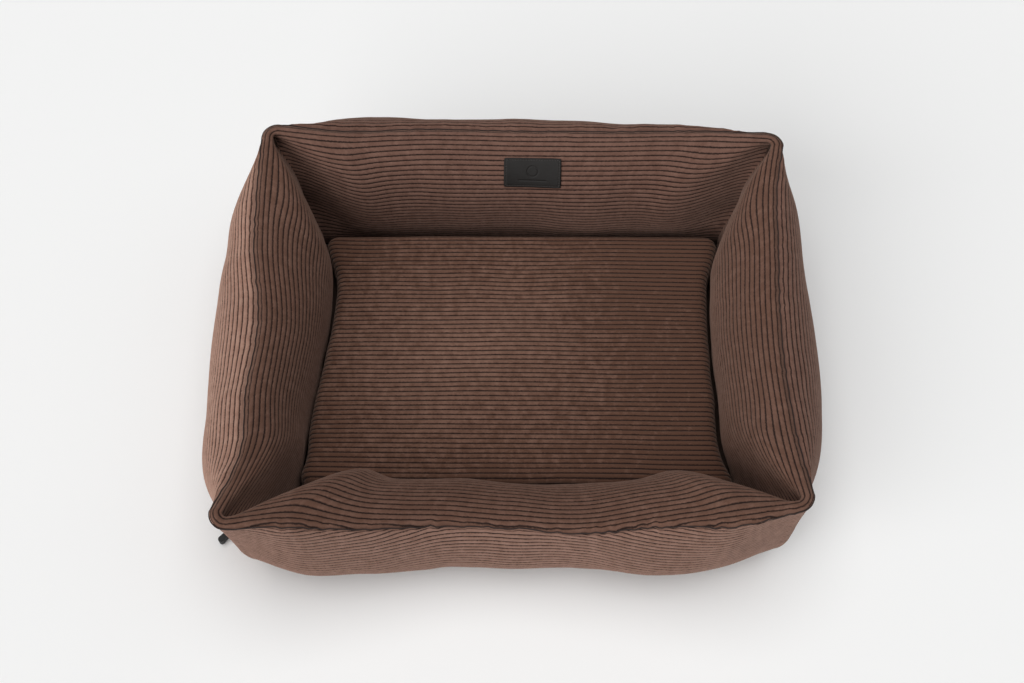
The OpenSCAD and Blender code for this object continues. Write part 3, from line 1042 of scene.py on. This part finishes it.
    def faces_of(self) -> dict:
        """Both faces with ribs, in the wall's own frame.

        Returns:
            For each face its ribbed points, its smooth points, normals and cloth
            coordinates.
        """
        made = {}
        for face in Face:
            cloth = self.surface(face)
            points, seam = cloth["points"], cloth["from_seam"]
            smooth = points + self.normals(points, face) * self.wrinkles(cloth, face)[..., None]
            seed = self.seed * 10 + 7
            wander = self.seam_wander * smooth_noise(cloth["along"] / self.wander_length,
                                                     cloth["along"] * 0, seed)
            near = np.exp(-((seam / self.wander_reach) ** 2)) * ease(cloth["from_corner"], 0, 0.02)
            smooth[..., 1] += wander * near
            smooth[..., 2] -= self.groove_depth * np.exp(-((seam / self.groove_width) ** 2))
            normal = self.normals(smooth, face)
            fade = 1 - 0.85 * np.exp(-((seam / self.flat_at_seam) ** 2))
            if face is Face.INNER:
                # The ribs are pressed flat deep in the corner crease
                fade *= 1 - 0.6 * ease(seam, 0.03, 0.06) * (1 - ease(cloth["from_corner"], 0, 0.012))
            height = WALE_DEPTH * (wale_height(cloth["phase"]) - 1.0) * fade
            made[face] = {
                "smooth": smooth, "normal": normal,
                "points": smooth + normal * height[..., None],
                "uv": np.stack([cloth["along"], cloth["phase"]], axis=2),
                "from_seam": seam, "along": cloth["along"]}
        return made

    def build(self, finishes: Finishes) -> bpy.types.Object:
        """Make the wall's piece.

        Args:
            finishes: The bed's finishes.

        Returns:
            The wall, as one closed mesh.
        """
        self.made = self.faces_of()
        outer, inner = self.made[Face.OUTER], self.made[Face.INNER]
        points = np.concatenate([outer["points"], inner["points"][:, ::-1]], axis=1)
        uv = np.concatenate([outer["uv"], inner["uv"][:, ::-1]], axis=1)
        stations, rows = points.shape[:2]
        faces = grid_faces(stations, rows, wrap_rows=True)
        flat = self.place(points).reshape(-1, 3)
        for end in (0, stations - 1):
            hub = len(flat)
            ring = end * rows + np.arange(rows)
            flat = np.concatenate([flat, flat[ring].mean(axis=0, keepdims=True)])
            uv = np.concatenate([uv.reshape(-1, 2), [[0.0, 0.5]]])
            pairs = zip(ring, np.roll(ring, -1))
            faces += [[hub, int(a), int(b)] if end == 0 else [hub, int(b), int(a)]
                      for a, b in pairs]
        piece = new_piece(self.name(), flat, faces, finishes[self.inner_nap], uv.reshape(-1, 2))
        piece.data.materials.append(finishes[self.nap])
        # The outer faces take the wall's outer copy of the corduroy, with its painted light and
        # shade
        brushed = [face[0] % rows < outer["points"].shape[1] for face in faces]
        piece.data.polygons.foreach_set("material_index", np.array(brushed, dtype=np.int32))
        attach(piece, BED)
        side = self.side.name.lower()
        after = {Side.REAR: "rear_left", Side.LEFT: "front_left",
                 Side.FRONT: "front_right", Side.RIGHT: "rear_right"}[self.side]
        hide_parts(side + "_wall_fill", side + "_inner_panel", side + "_outer_panel",
                    after + "_corner_seam")
        return piece

    def seam_path(self) -> np.ndarray:
        """Bottom of the top seam's groove, from one corner to the other."""
        both = [self.made[face]["smooth"][:, -1] for face in Face]
        return self.place((both[0] + both[1]) / 2)

    def inmost(self, axis: int, sign: float) -> tuple[np.ndarray, np.ndarray]:
        """How far the inner face reaches into the well along the wall.

        Args:
            axis: Bed axis, 0 or 1, that the inner face looks along.
            sign: Sign of the inward direction on that axis.

        Returns:
            Rising places along the wall and the reach at each, in the bed's frame.
        """
        points = self.place(self.made[Face.INNER]["smooth"])
        row = np.argmax(points[..., axis] * sign, axis=1)
        best = points[np.arange(len(points)), row]
        order = np.argsort(best[:, 1 - axis])
        return best[order, 1 - axis], best[order, axis]

    def foot_path(self, face: Face) -> np.ndarray:
        """The foot of one face in plan, from one corner to the other."""
        return self.place(self.made[face]["smooth"][:, 0])[:, :2]


@dataclass
class Walls:
    """The four walls, the thread in their top seam and the base that closes them."""

    finishes: Finishes
    thread_radius: float = 0.0008
    dot_pitch: float = 0.018
    dot_radius: float = 0.0022
    dot_h: float = 0.0006

    def __post_init__(self) -> None:
        """Set out the four walls with their own sizes."""
        five = (-0.75, -0.4, 0.0, 0.4, 0.75)
        seven = (-0.8, -0.55, -0.25, 0.0, 0.25, 0.55, 0.8)
        # Each wall's faces take a corduroy copy with its own painted light and shade
        self.walls = [
            Wall(Side.REAR, five, seam_h=(0.197, 0.190, 0.187, 0.190, 0.197),
                 seam_w=(-0.004, 0.006, 0.008, 0.007, 0.005),
                 bulge_out=(0.045, 0.052, 0.057, 0.046, 0.028),
                 bulge_in=(0.064, 0.064, 0.063, 0.070, 0.069),
                 foot_out=0.024, foot_in=0.044, step=0.0036, seed=3, nap="nap_dark",
                 inner_nap="nap_dark"),
            Wall(Side.LEFT, five, seam_h=(0.193, 0.185, 0.181, 0.183, 0.191),
                 seam_w=(-0.021, -0.018, -0.020, -0.004, 0.000),
                 bulge_out=(0.030, 0.043, 0.049, 0.047, 0.035),
                 bulge_in=(0.064, 0.071, 0.080, 0.085, 0.078),
                 foot_out=0.012, foot_in=0.060, step=0.0032, seed=5, nap="nap_light"),
            Wall(Side.FRONT, seven, seam_h=(0.196, 0.170, 0.146, 0.141, 0.146, 0.170, 0.196),
                 seam_w=(0.012, 0.001, -0.002, -0.012, -0.015, -0.005, -0.002),
                 bulge_out=(0.020, 0.027, 0.011, 0.010, 0.007, 0.018, 0.016),
                 bulge_in=(0.080, 0.079, 0.081, 0.084, 0.090, 0.084, 0.086),
                 foot_out=-0.020, foot_in=0.062, step=0.0032, seed=7, nap="nap_middle",
                 widest_at=0.43, slack=0.45, seam_wander=0.0013),
            Wall(Side.RIGHT, five, seam_h=(0.191, 0.183, 0.181, 0.185, 0.193),
                 seam_w=(-0.009, -0.012, -0.016, -0.015, -0.009),
                 bulge_out=(0.026, 0.030, 0.036, 0.035, 0.021),
                 bulge_in=(0.073, 0.083, 0.082, 0.082, 0.072),
                 foot_out=0.012, foot_in=0.058, step=0.0032, seed=9, nap="nap_dark"),
        ]

    def build(self) -> None:
        """Make the walls, the seam thread and the base."""
        for wall in self.walls:
            wall.set_out()
            piece = wall.build(self.finishes)
            LOG.info("%s: %d faces", piece.name, len(piece.data.polygons))
        self.build_thread()
        self.build_base()
        self.build_floor_pad()

    def ring(self, paths: list) -> np.ndarray:
        """Join one path of each wall into a ring.

        Args:
            paths: Paths of the rear, left, front and right wall.

        Returns:
            The ring's points, without the doubled corner points.
        """
        return np.concatenate([path[:-1] for path in (paths[0][::-1], paths[1][::-1],
                                                      paths[2][::-1], paths[3][::-1])])

    def build_thread(self) -> None:
        """The sewn ridge at the bottom of the top seam."""
        path = self.ring([wall.seam_path() for wall in self.walls])
        piece = tube("top_seam", path + [0, 0, 0.0002], self.thread_radius,
                     self.finishes["thread"], closed=True)
        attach(piece, BED)
        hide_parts("rim_seam")

    def slab(self, name: str, outline: np.ndarray, low: float, high: float,
             material: bpy.types.Material) -> bpy.types.Object:
        """A flat cloth or pad with rounded edges.

        Args:
            name: Name of the piece.
            outline: Points round its plan.
            low: Height of its underside.
            high: Height of its top.
            material: Its finish.

        Returns:
            The new object.
        """
        middle = outline.mean(axis=0)
        rings, t = [], high - low
        for share, up in ((0.0, 0), (0.5, 0), (0.97, 0), (1.0, t * 0.35), (1.0, t * 0.65),
                          (0.97, t), (0.5, t), (0.0, t)):
            plan = middle + (outline - middle) * max(share, 0.002)
            rings.append(np.column_stack([plan, np.full(len(plan), low + up)]))
        points = np.stack(rings)
        faces = grid_faces(len(rings), len(outline), wrap_rows=True)
        last = (len(rings) - 1) * len(outline)
        faces += [list(range(len(outline)))[::-1], list(range(last, last + len(outline)))]
        return new_piece(name, points.reshape(-1, 3), faces, material)

    def build_base(self) -> None:
        """The base cloth with its small grip dots."""
        low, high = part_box("base_cloth")
        outline = self.ring([wall.foot_path(Face.OUTER) for wall in self.walls])
        piece = self.slab("base_cloth_skin", outline, self.dot_h, high.z + 0.0004,
                          self.finishes["base"])
        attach(piece, BED)
        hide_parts("base_cloth")
        self.build_dots(low, high, 0.96 * outline)

    def build_dots(self, low: Vector, high: Vector, outline: np.ndarray) -> None:
        """Rows of small grip dots that the bed stands on.

        Args:
            low: Lowest corner of the base cloth.
            high: Highest corner of the base cloth.
            outline: Dots are only set inside this outline.
        """
        margin = 0.026
        xs = np.arange(low.x + margin, high.x - margin, self.dot_pitch)
        ys = np.arange(low.y + margin, high.y - margin, self.dot_pitch)
        angle = np.linspace(0, 2 * math.pi, 8, endpoint=False)
        ring = np.stack([np.cos(angle), np.sin(angle)], axis=1) * self.dot_radius
        points, faces = [], []
        for i, x in enumerate(xs):
            for y in ys:
                shift = self.dot_pitch / 2 * (i % 2)
                if not inside(outline, x, y + shift):
                    continue
                start = len(points)
                for scale, z in ((1.0, self.dot_h + 0.0004), (0.8, 0.0)):
                    points += [(x + scale * px, y + shift + scale * py, z) for px, py in ring]
                faces += [[start + k, start + (k + 1) % 8, start + 8 + (k + 1) % 8,
                           start + 8 + k] for k in range(8)]
                faces += [list(range(start, start + 8))[::-1], list(range(start + 8, start + 16))]
        piece = new_piece("grip_dots", np.array(points), [f[::-1] for f in faces],
                          self.finishes["dots"], crease_deg=50)
        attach(piece, BED)

    def build_floor_pad(self) -> None:
        """The lined wadding that closes the well under the mattress."""
        low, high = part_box("base_wadding")[0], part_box("floor_panel")[1]
        outline = self.ring([wall.foot_path(Face.INNER) for wall in self.walls])
        piece = self.slab("floor_pad", outline, low.z + 0.0006, high.z, self.finishes["lining"])
        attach(piece, BED)
        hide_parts("base_wadding", "floor_panel")


# ---------------------------------------------------------------- mattress


@dataclass
class MattressCushion:
    """The loose cushion: a top and a bottom corduroy cover sewn together at mid height."""

    finishes: Finishes
    walls: Walls
    row_step: float = 0.0009
    column_step: float = 0.006
    edge: float = 0.013
    corner_radius: float = 0.022
    gap: float = 0.001
    crown: float = 0.0025

    def build(self) -> None:
        """Make both covers."""
        low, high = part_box("mattress_top_cover")
        self.front = low.y
        self.high_z, self.mid_z = high.z, low.z
        self.low_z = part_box("mattress_bottom_cover")[0].z
        rear, left, _, right = self.walls.walls
        self.left = left.inmost(0, 1.0)
        self.right = right.inmost(0, -1.0)
        self.rear = float(rear.inmost(1, -1.0)[1].min()) - self.gap
        for name, up in (("mattress_top", 1.0), ("mattress_underside", -1.0)):
            piece = self.cover(name, up)
            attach(piece, MATTRESS)
            if up > 0:
                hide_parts("mattress_top_cover", "mattress_fill")
            else:
                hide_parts("mattress_bottom_cover")
            LOG.info("%s: %d faces", piece.name, len(piece.data.polygons))

    def profile(self, half: float, step: float, reach: float) -> tuple[np.ndarray, np.ndarray]:
        """Round-edged profile across the cushion.

        Args:
            half: Half of the cushion's size in this direction.
            step: Wanted distance between points along the cloth.
            reach: Height of the profile.

        Returns:
            Places from -half to half and height shares from 0 to 1.
        """
        turn = np.linspace(0, math.pi / 2, 60)
        place = np.concatenate([[0.0], half - self.edge + self.edge * np.sin(turn)])
        share = np.concatenate([[1.0], np.cos(turn) ** 0.6])
        length = np.concatenate([[0.0], np.cumsum(np.hypot(np.diff(place),
                                                           np.diff(share) * reach))])
        even = np.linspace(0, length[-1], int(length[-1] / step))
        place, share = np.interp(even, length, place), np.interp(even, length, share)
        mirror = slice(None, 0, -1)
        return (np.concatenate([-place[mirror], place]),
                np.concatenate([share[mirror], share]))

    def cover(self, name: str, up: float) -> bpy.types.Object:
        """One half of the cover.

        Args:
            name: Name of the piece.
            up: 1 for the top, -1 for the underside.

        Returns:
            The new object.
        """
        reach = self.high_z - self.mid_z if up > 0 else self.mid_z - self.low_z
        half_y = (self.rear - self.front) / 2
        py, fy = self.profile(half_y, self.row_step, reach)
        y = py + (self.rear + self.front) / 2
        left = np.interp(y, *self.left) + self.gap
        right = np.interp(y, *self.right) - self.gap
        half_x = float(np.mean(right - left)) / 2
        px, fx = self.profile(half_x, self.column_step, reach)
        over = np.clip(self.corner_radius - (half_y - np.abs(py)), 0, self.corner_radius)
        inset = self.corner_radius - np.sqrt(self.corner_radius ** 2 - over ** 2)
        left, right = left + inset, right - inset
        a = (px[:, None] / half_x + 1) / 2
        x = left[None, :] * (1 - a) + right[None, :] * a
        y = np.broadcast_to(y[None, :], x.shape)
        wave = 0.0016 * smooth_noise(x / 0.11, y / 0.09, 31) + 0.0008 * smooth_noise(
            x / 0.05, y / 0.045, 32)
        dome = self.crown * (1 - (2 * a - 1) ** 2) * (1 - (py / half_y)[None, :] ** 2)
        rise = fx[:, None] * fy[None, :]
        height = rise * (reach + (dome + wave if up > 0 else 0.0))
        points = np.stack([x, y, self.mid_z + up * height], axis=2)
        run = np.hypot(np.diff(y, axis=1), np.diff(height, axis=1) * 0.6)
        run = np.concatenate([np.zeros((len(x), 1)), np.cumsum(run, axis=1)], axis=1)
        middle = run.shape[1] // 2
        phase = (run - run[:, middle:middle + 1]) / WALE_PITCH
        phase += 0.10 * smooth_noise(x / 0.06, y / 0.05, 33)
        normal = grid_normals(points) * up
        depth = WALE_DEPTH * (wale_height(phase) - 1) * np.clip(rise / 0.3, 0, 1)
        points = points + normal * depth[..., None]
        uv = np.stack([x, phase], axis=2)
        return new_piece(name, points.reshape(-1, 3), grid_faces(*x.shape, flip=up < 0),
                         self.finishes["mattress"], uv.reshape(-1, 2))


# ---------------------------------------------------------------- label


@dataclass
class Label:
    """The leather label sewn to the inside of the rear wall."""

    finishes: Finishes
    wall: Wall
    thickness: float = 0.0016
    lift: float = 0.0004
    corner_power: float = 9.0
    stitch_inset: float = 0.0026
    stitch_step: float = 0.0032
    stitch_radius: float = 0.00036
    emboss: float = 0.0006
    rounding: float = 0.0007
    border_press: float = 0.00035
    ring_radius: float = 0.0066
    ring_up: float = 0.12
    bar_half: float = 0.017
    bar_down: float = 0.5
    bar_line: float = 0.0004

    def on_wall(self, x: np.ndarray, down: np.ndarray) -> tuple[np.ndarray, np.ndarray]:
        """Points and normals on the rear wall's inner face.

        Args:
            x: Distances along the wall.
            down: Distances from the top seam along the cloth.

        Returns:
            Points in the bed's frame, and unit normals.
        """
        face = self.wall.made[Face.INNER]
        along, seam = face["along"][:, 0], face["from_seam"][len(face["along"]) // 2]
        j = np.interp(down, seam[::-1], np.arange(len(seam))[::-1])
        far = len(along) * 3 // 4
        narrow = face["smooth"][far, np.round(j).astype(int), 0] / along[far]
        i = np.interp(x / narrow, along, np.arange(len(along)))
        i0, j0 = np.floor(i).astype(int), np.floor(j).astype(int)
        fi, fj = (i - i0)[..., None], (j - j0)[..., None]

        def read(grid: np.ndarray) -> np.ndarray:
            """Read a grid between its points."""
            before = grid[i0, j0] * (1 - fj) + grid[i0, j0 + 1] * fj
            after = grid[i0 + 1, j0] * (1 - fj) + grid[i0 + 1, j0 + 1] * fj
            return before * (1 - fi) + after * fi

        normal = read(face["normal"])
        normal /= np.linalg.norm(normal, axis=-1, keepdims=True)
        return self.wall.place(read(face["smooth"])), normal

    def build(self) -> None:
        """Make the leather, with its pressed ring and bar, and its stitches."""
        low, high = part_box("leather_label")
        self.x = (low.x + high.x) / 2
        self.w = high.x - low.x
        self.h = math.hypot(high.y - low.y, high.z - low.z) - self.thickness
        target = (low.z + high.z) / 2
        down = np.linspace(0.01, 0.12, 200)
        points, _ = self.on_wall(np.full_like(down, self.x), down)
        self.down = float(np.interp(-target, -points[:, 2], down))
        self.build_leather()
        self.build_stitches()

    def build_leather(self) -> None:
        """The pressed and rounded piece of leather."""
        na, nb = 131, 71
        a, b = np.meshgrid(np.linspace(-1, 1, na), np.linspace(-1, 1, nb), indexing="ij")
        round_a = a * (1 - 0.018 * np.abs(b) ** self.corner_power)
        round_b = b * (1 - 0.035 * np.abs(a) ** self.corner_power)
        base, normal = self.on_wall(self.x + round_a * self.w / 2,
                                    self.down - round_b * self.h / 2)
        edge = np.minimum((1 - np.abs(a)) * self.w / 2, (1 - np.abs(b)) * self.h / 2)
        top = self.thickness * (1 - 0.45 * np.exp(-(edge / self.rounding) ** 2))
        border = np.abs(edge - self.stitch_inset)
        top -= self.border_press * np.exp(-((border / self.rounding) ** 2))
        ring = np.abs(np.hypot(a * self.w / 2, (b - self.ring_up) * self.h / 2) - self.ring_radius)
        top -= self.emboss * np.exp(-((ring / self.rounding) ** 4))
        bar = np.maximum(np.abs(a * self.w / 2) - self.bar_half,
                         np.abs((b + self.bar_down) * self.h / 2) - self.bar_line)
        top -= self.emboss * np.exp(-((np.maximum(bar, 0) / self.bar_line) ** 2))
        upper = base + normal * (self.lift + top)[..., None]
        lower = base + normal * self.lift
        points = np.concatenate([upper.reshape(-1, 3), lower.reshape(-1, 3)])
        count = na * nb
        faces = grid_faces(na, nb)
        faces += [[count + v for v in face[::-1]] for face in faces]
        rim = ([i * nb for i in range(na)] + [(na - 1) * nb + j for j in range(1, nb)]
               + [i * nb + nb - 1 for i in range(na - 2, -1, -1)] + list(range(nb - 2, 0, -1)))
        faces += [[p, count + p, count + q, q] for p, q in zip(rim, rim[1:] + rim[:1])]
        piece = new_piece("label_leather", points, [f[::-1] for f in faces],
                          self.finishes["leather"], crease_deg=60)
        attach(piece, BED)
        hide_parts("leather_label")

    def build_stitches(self) -> None:
        """A row of short stitches round the label's border."""
        w = self.w / 2 - self.stitch_inset
        h = self.h / 2 - self.stitch_inset
        centres = []
        for length, fixed, swap in ((w, h, False), (w, -h, False), (h, w, True), (h, -w, True)):
            count = int(2 * length / self.stitch_step)
            for k in range(count):
                t = -length + (k + 0.5) * 2 * length / count
                centres.append((fixed, t, True) if swap else (t, fixed, False))
        points, faces = [], []
        sides, reach = 6, 0.0011
        angle = np.linspace(0, 2 * math.pi, sides, endpoint=False)
        for x, y, upright in centres:
            ends = np.array([-1.0, -0.8, 0.0, 0.8, 1.0])
            dx = ends * reach * (0 if upright else 1)
            dy = ends * reach * (1 if upright else 0)
            middle, normal = self.on_wall(self.x + x + dx, self.down - (y + dy))
            rise = self.lift + self.thickness - 0.0003 + 0.0004 * (1 - ends ** 2)
            middle = middle + normal * rise[:, None]
            tangent = middle[-1] - middle[0]
            tangent /= np.linalg.norm(tangent)
            across = np.cross(tangent, normal)
            radius = self.stitch_radius * np.array([0.35, 0.8, 1.0, 0.8, 0.35])
            start = len(points)
            for m, c, u, r in zip(middle, across, normal, radius):
                points += [m + r * (math.cos(t) * c + math.sin(t) * u) for t in angle]
            faces += [[start + v for v in face] for face in grid_faces(5, sides, wrap_rows=True)]
            faces += [[start + k for k in range(sides)],
                      [start + 4 * sides + k for k in range(sides)][::-1]]
        piece = new_piece("label_stitches", np.array(points), faces,
                          self.finishes["label_thread"])
        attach(piece, BED)
        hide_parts("label_stitching")


# ---------------------------------------------------------------- zips


@dataclass(frozen=True)
class Zips:
    """The two zips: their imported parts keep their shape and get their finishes."""

    finishes: Finishes

    def build(self) -> None:
        """Dress every packed zip part."""
        dressed = {
            "tape": ("cover_zip_tape", "mattress_zip_tape"),
            "teeth": ("cover_zip_teeth", "mattress_zip_teeth"),
            "metal": ("cover_zip_stops", "cover_zip_slider", "cover_zip_link",
                      "mattress_zip_slider", "mattress_zip_pull"),
            "tab": ("cover_zip_tab",),
        }
        for finish, names in dressed.items():
            for name in names:
                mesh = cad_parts[name].data
                mesh.materials.clear()
                mesh.materials.append(self.finishes[finish])
                LOG.info("%s dressed", name)


# ---------------------------------------------------------------- studio


@dataclass(frozen=True)
class Lamp:
    """A wide soft light a long way off, placed by where it stands."""

    name: str
    azimuth: float
    elevation: float
    strength: float
    width: float

    def build(self) -> None:
        """Make the lamp; azimuth 0 is on the right and 270 in front of the bed."""
        light = bpy.data.lights.new(self.name, "SUN")
        light.energy = self.strength
        light.angle = math.radians(self.width)
        light.color = (1.0, 1.0, 0.995)
        lamp = bpy.data.objects.new(self.name, light)
        a, e = math.radians(self.azimuth), math.radians(self.elevation)
        stand = Vector((math.cos(a) * math.cos(e), math.sin(a) * math.cos(e), math.sin(e)))
        lamp.rotation_euler = (-stand).to_track_quat("-Z", "Y").to_euler()
        bpy.context.scene.collection.objects.link(lamp)


LAMPS = (Lamp("overhead_bank", 0.0, 90.0, 1.72, 55.0),
         Lamp("front_left_bank", 228.0, 22.0, 2.35, 64.0),
         Lamp("right_card", 10.0, 46.0, 0.30, 50.0))


@dataclass(frozen=True)
class Studio:
    """Plain pale floor, soft light and the camera."""

    place: tuple = (0.0242, -0.8315, 1.5419)
    azimuth: float = -2.19
    elevation: float = 60.14
    roll: float = -1.72
    lens: float = 47.7
    sky_strength: float = 0.12
    floor_reach: float = 60.0
    floor_z: float = -0.0003
    paper: float = 0.88
    clip_end: float = 200.0

    def build(self) -> None:
        """Make the floor, the lights and the camera."""
        self.build_floor()
        self.build_lights()
        self.build_camera()

    def build_floor(self) -> None:
        """A wide pale floor, a hair below the grip dots so that they don't share a plane."""
        reach, z = self.floor_reach, self.floor_z
        mesh = bpy.data.meshes.new("studio_floor")
        corners = ((-reach, -reach), (reach, -reach), (reach, reach), (-reach, reach))
        mesh.from_pydata([(x, y, z) for x, y in corners], [], [(0, 1, 2, 3)])
        material, _, shader = start_material("studio_paper")
        shader.inputs["Base Color"].default_value = (self.paper, self.paper, self.paper, 1)
        shader.inputs["Roughness"].default_value = 0.9
        shader.inputs["Specular IOR Level"].default_value = 0.1
        mesh.materials.append(material)
        floor = bpy.data.objects.new("studio_floor", mesh)
        bpy.context.scene.collection.objects.link(floor)

    def build_lights(self) -> None:
        """The soft banks and an even pale surround."""
        for lamp in LAMPS:
            lamp.build()
        world = bpy.data.worlds.new("studio")
        world.use_nodes = True
        back = world.node_tree.nodes["Background"]
        back.inputs["Color"].default_value = (0.97, 0.985, 1.0, 1)
        back.inputs["Strength"].default_value = self.sky_strength
        bpy.context.scene.world = world
        bpy.context.scene.view_settings.view_transform = "Standard"

    def build_camera(self) -> None:
        """The camera, above the front of the bed and looking steeply down."""
        e, a, r = (math.radians(v) for v in (self.elevation, self.azimuth, self.roll))
        forward = Vector((math.sin(a) * math.cos(e), math.cos(a) * math.cos(e), -math.sin(e)))
        right = Vector((math.cos(a), -math.sin(a), 0))
        up = right.cross(forward)
        right, up = (right * math.cos(r) + up * math.sin(r),
                     up * math.cos(r) - right * math.sin(r))
        data = bpy.data.cameras.new("camera")
        data.lens = self.lens
        data.sensor_width = 36.0
        data.clip_end = self.clip_end
        camera = bpy.data.objects.new("camera", data)
        turn = Matrix((right, up, -forward)).transposed().to_4x4()
        camera.matrix_world = Matrix.Translation(self.place) @ turn
        bpy.context.scene.collection.objects.link(camera)
        bpy.context.scene.camera = camera


def main() -> None:
    """Build the bed piece by piece."""
    logging.basicConfig(level=logging.INFO, format="%(message)s")
    Studio().build()
    finishes = Finishes().build()
    walls = Walls(finishes)
    walls.build()
    MattressCushion(finishes, walls).build()
    Label(finishes, walls.walls[Side.REAR.value]).build()
    Zips(finishes).build()


if __name__ == "__main__":
    main()
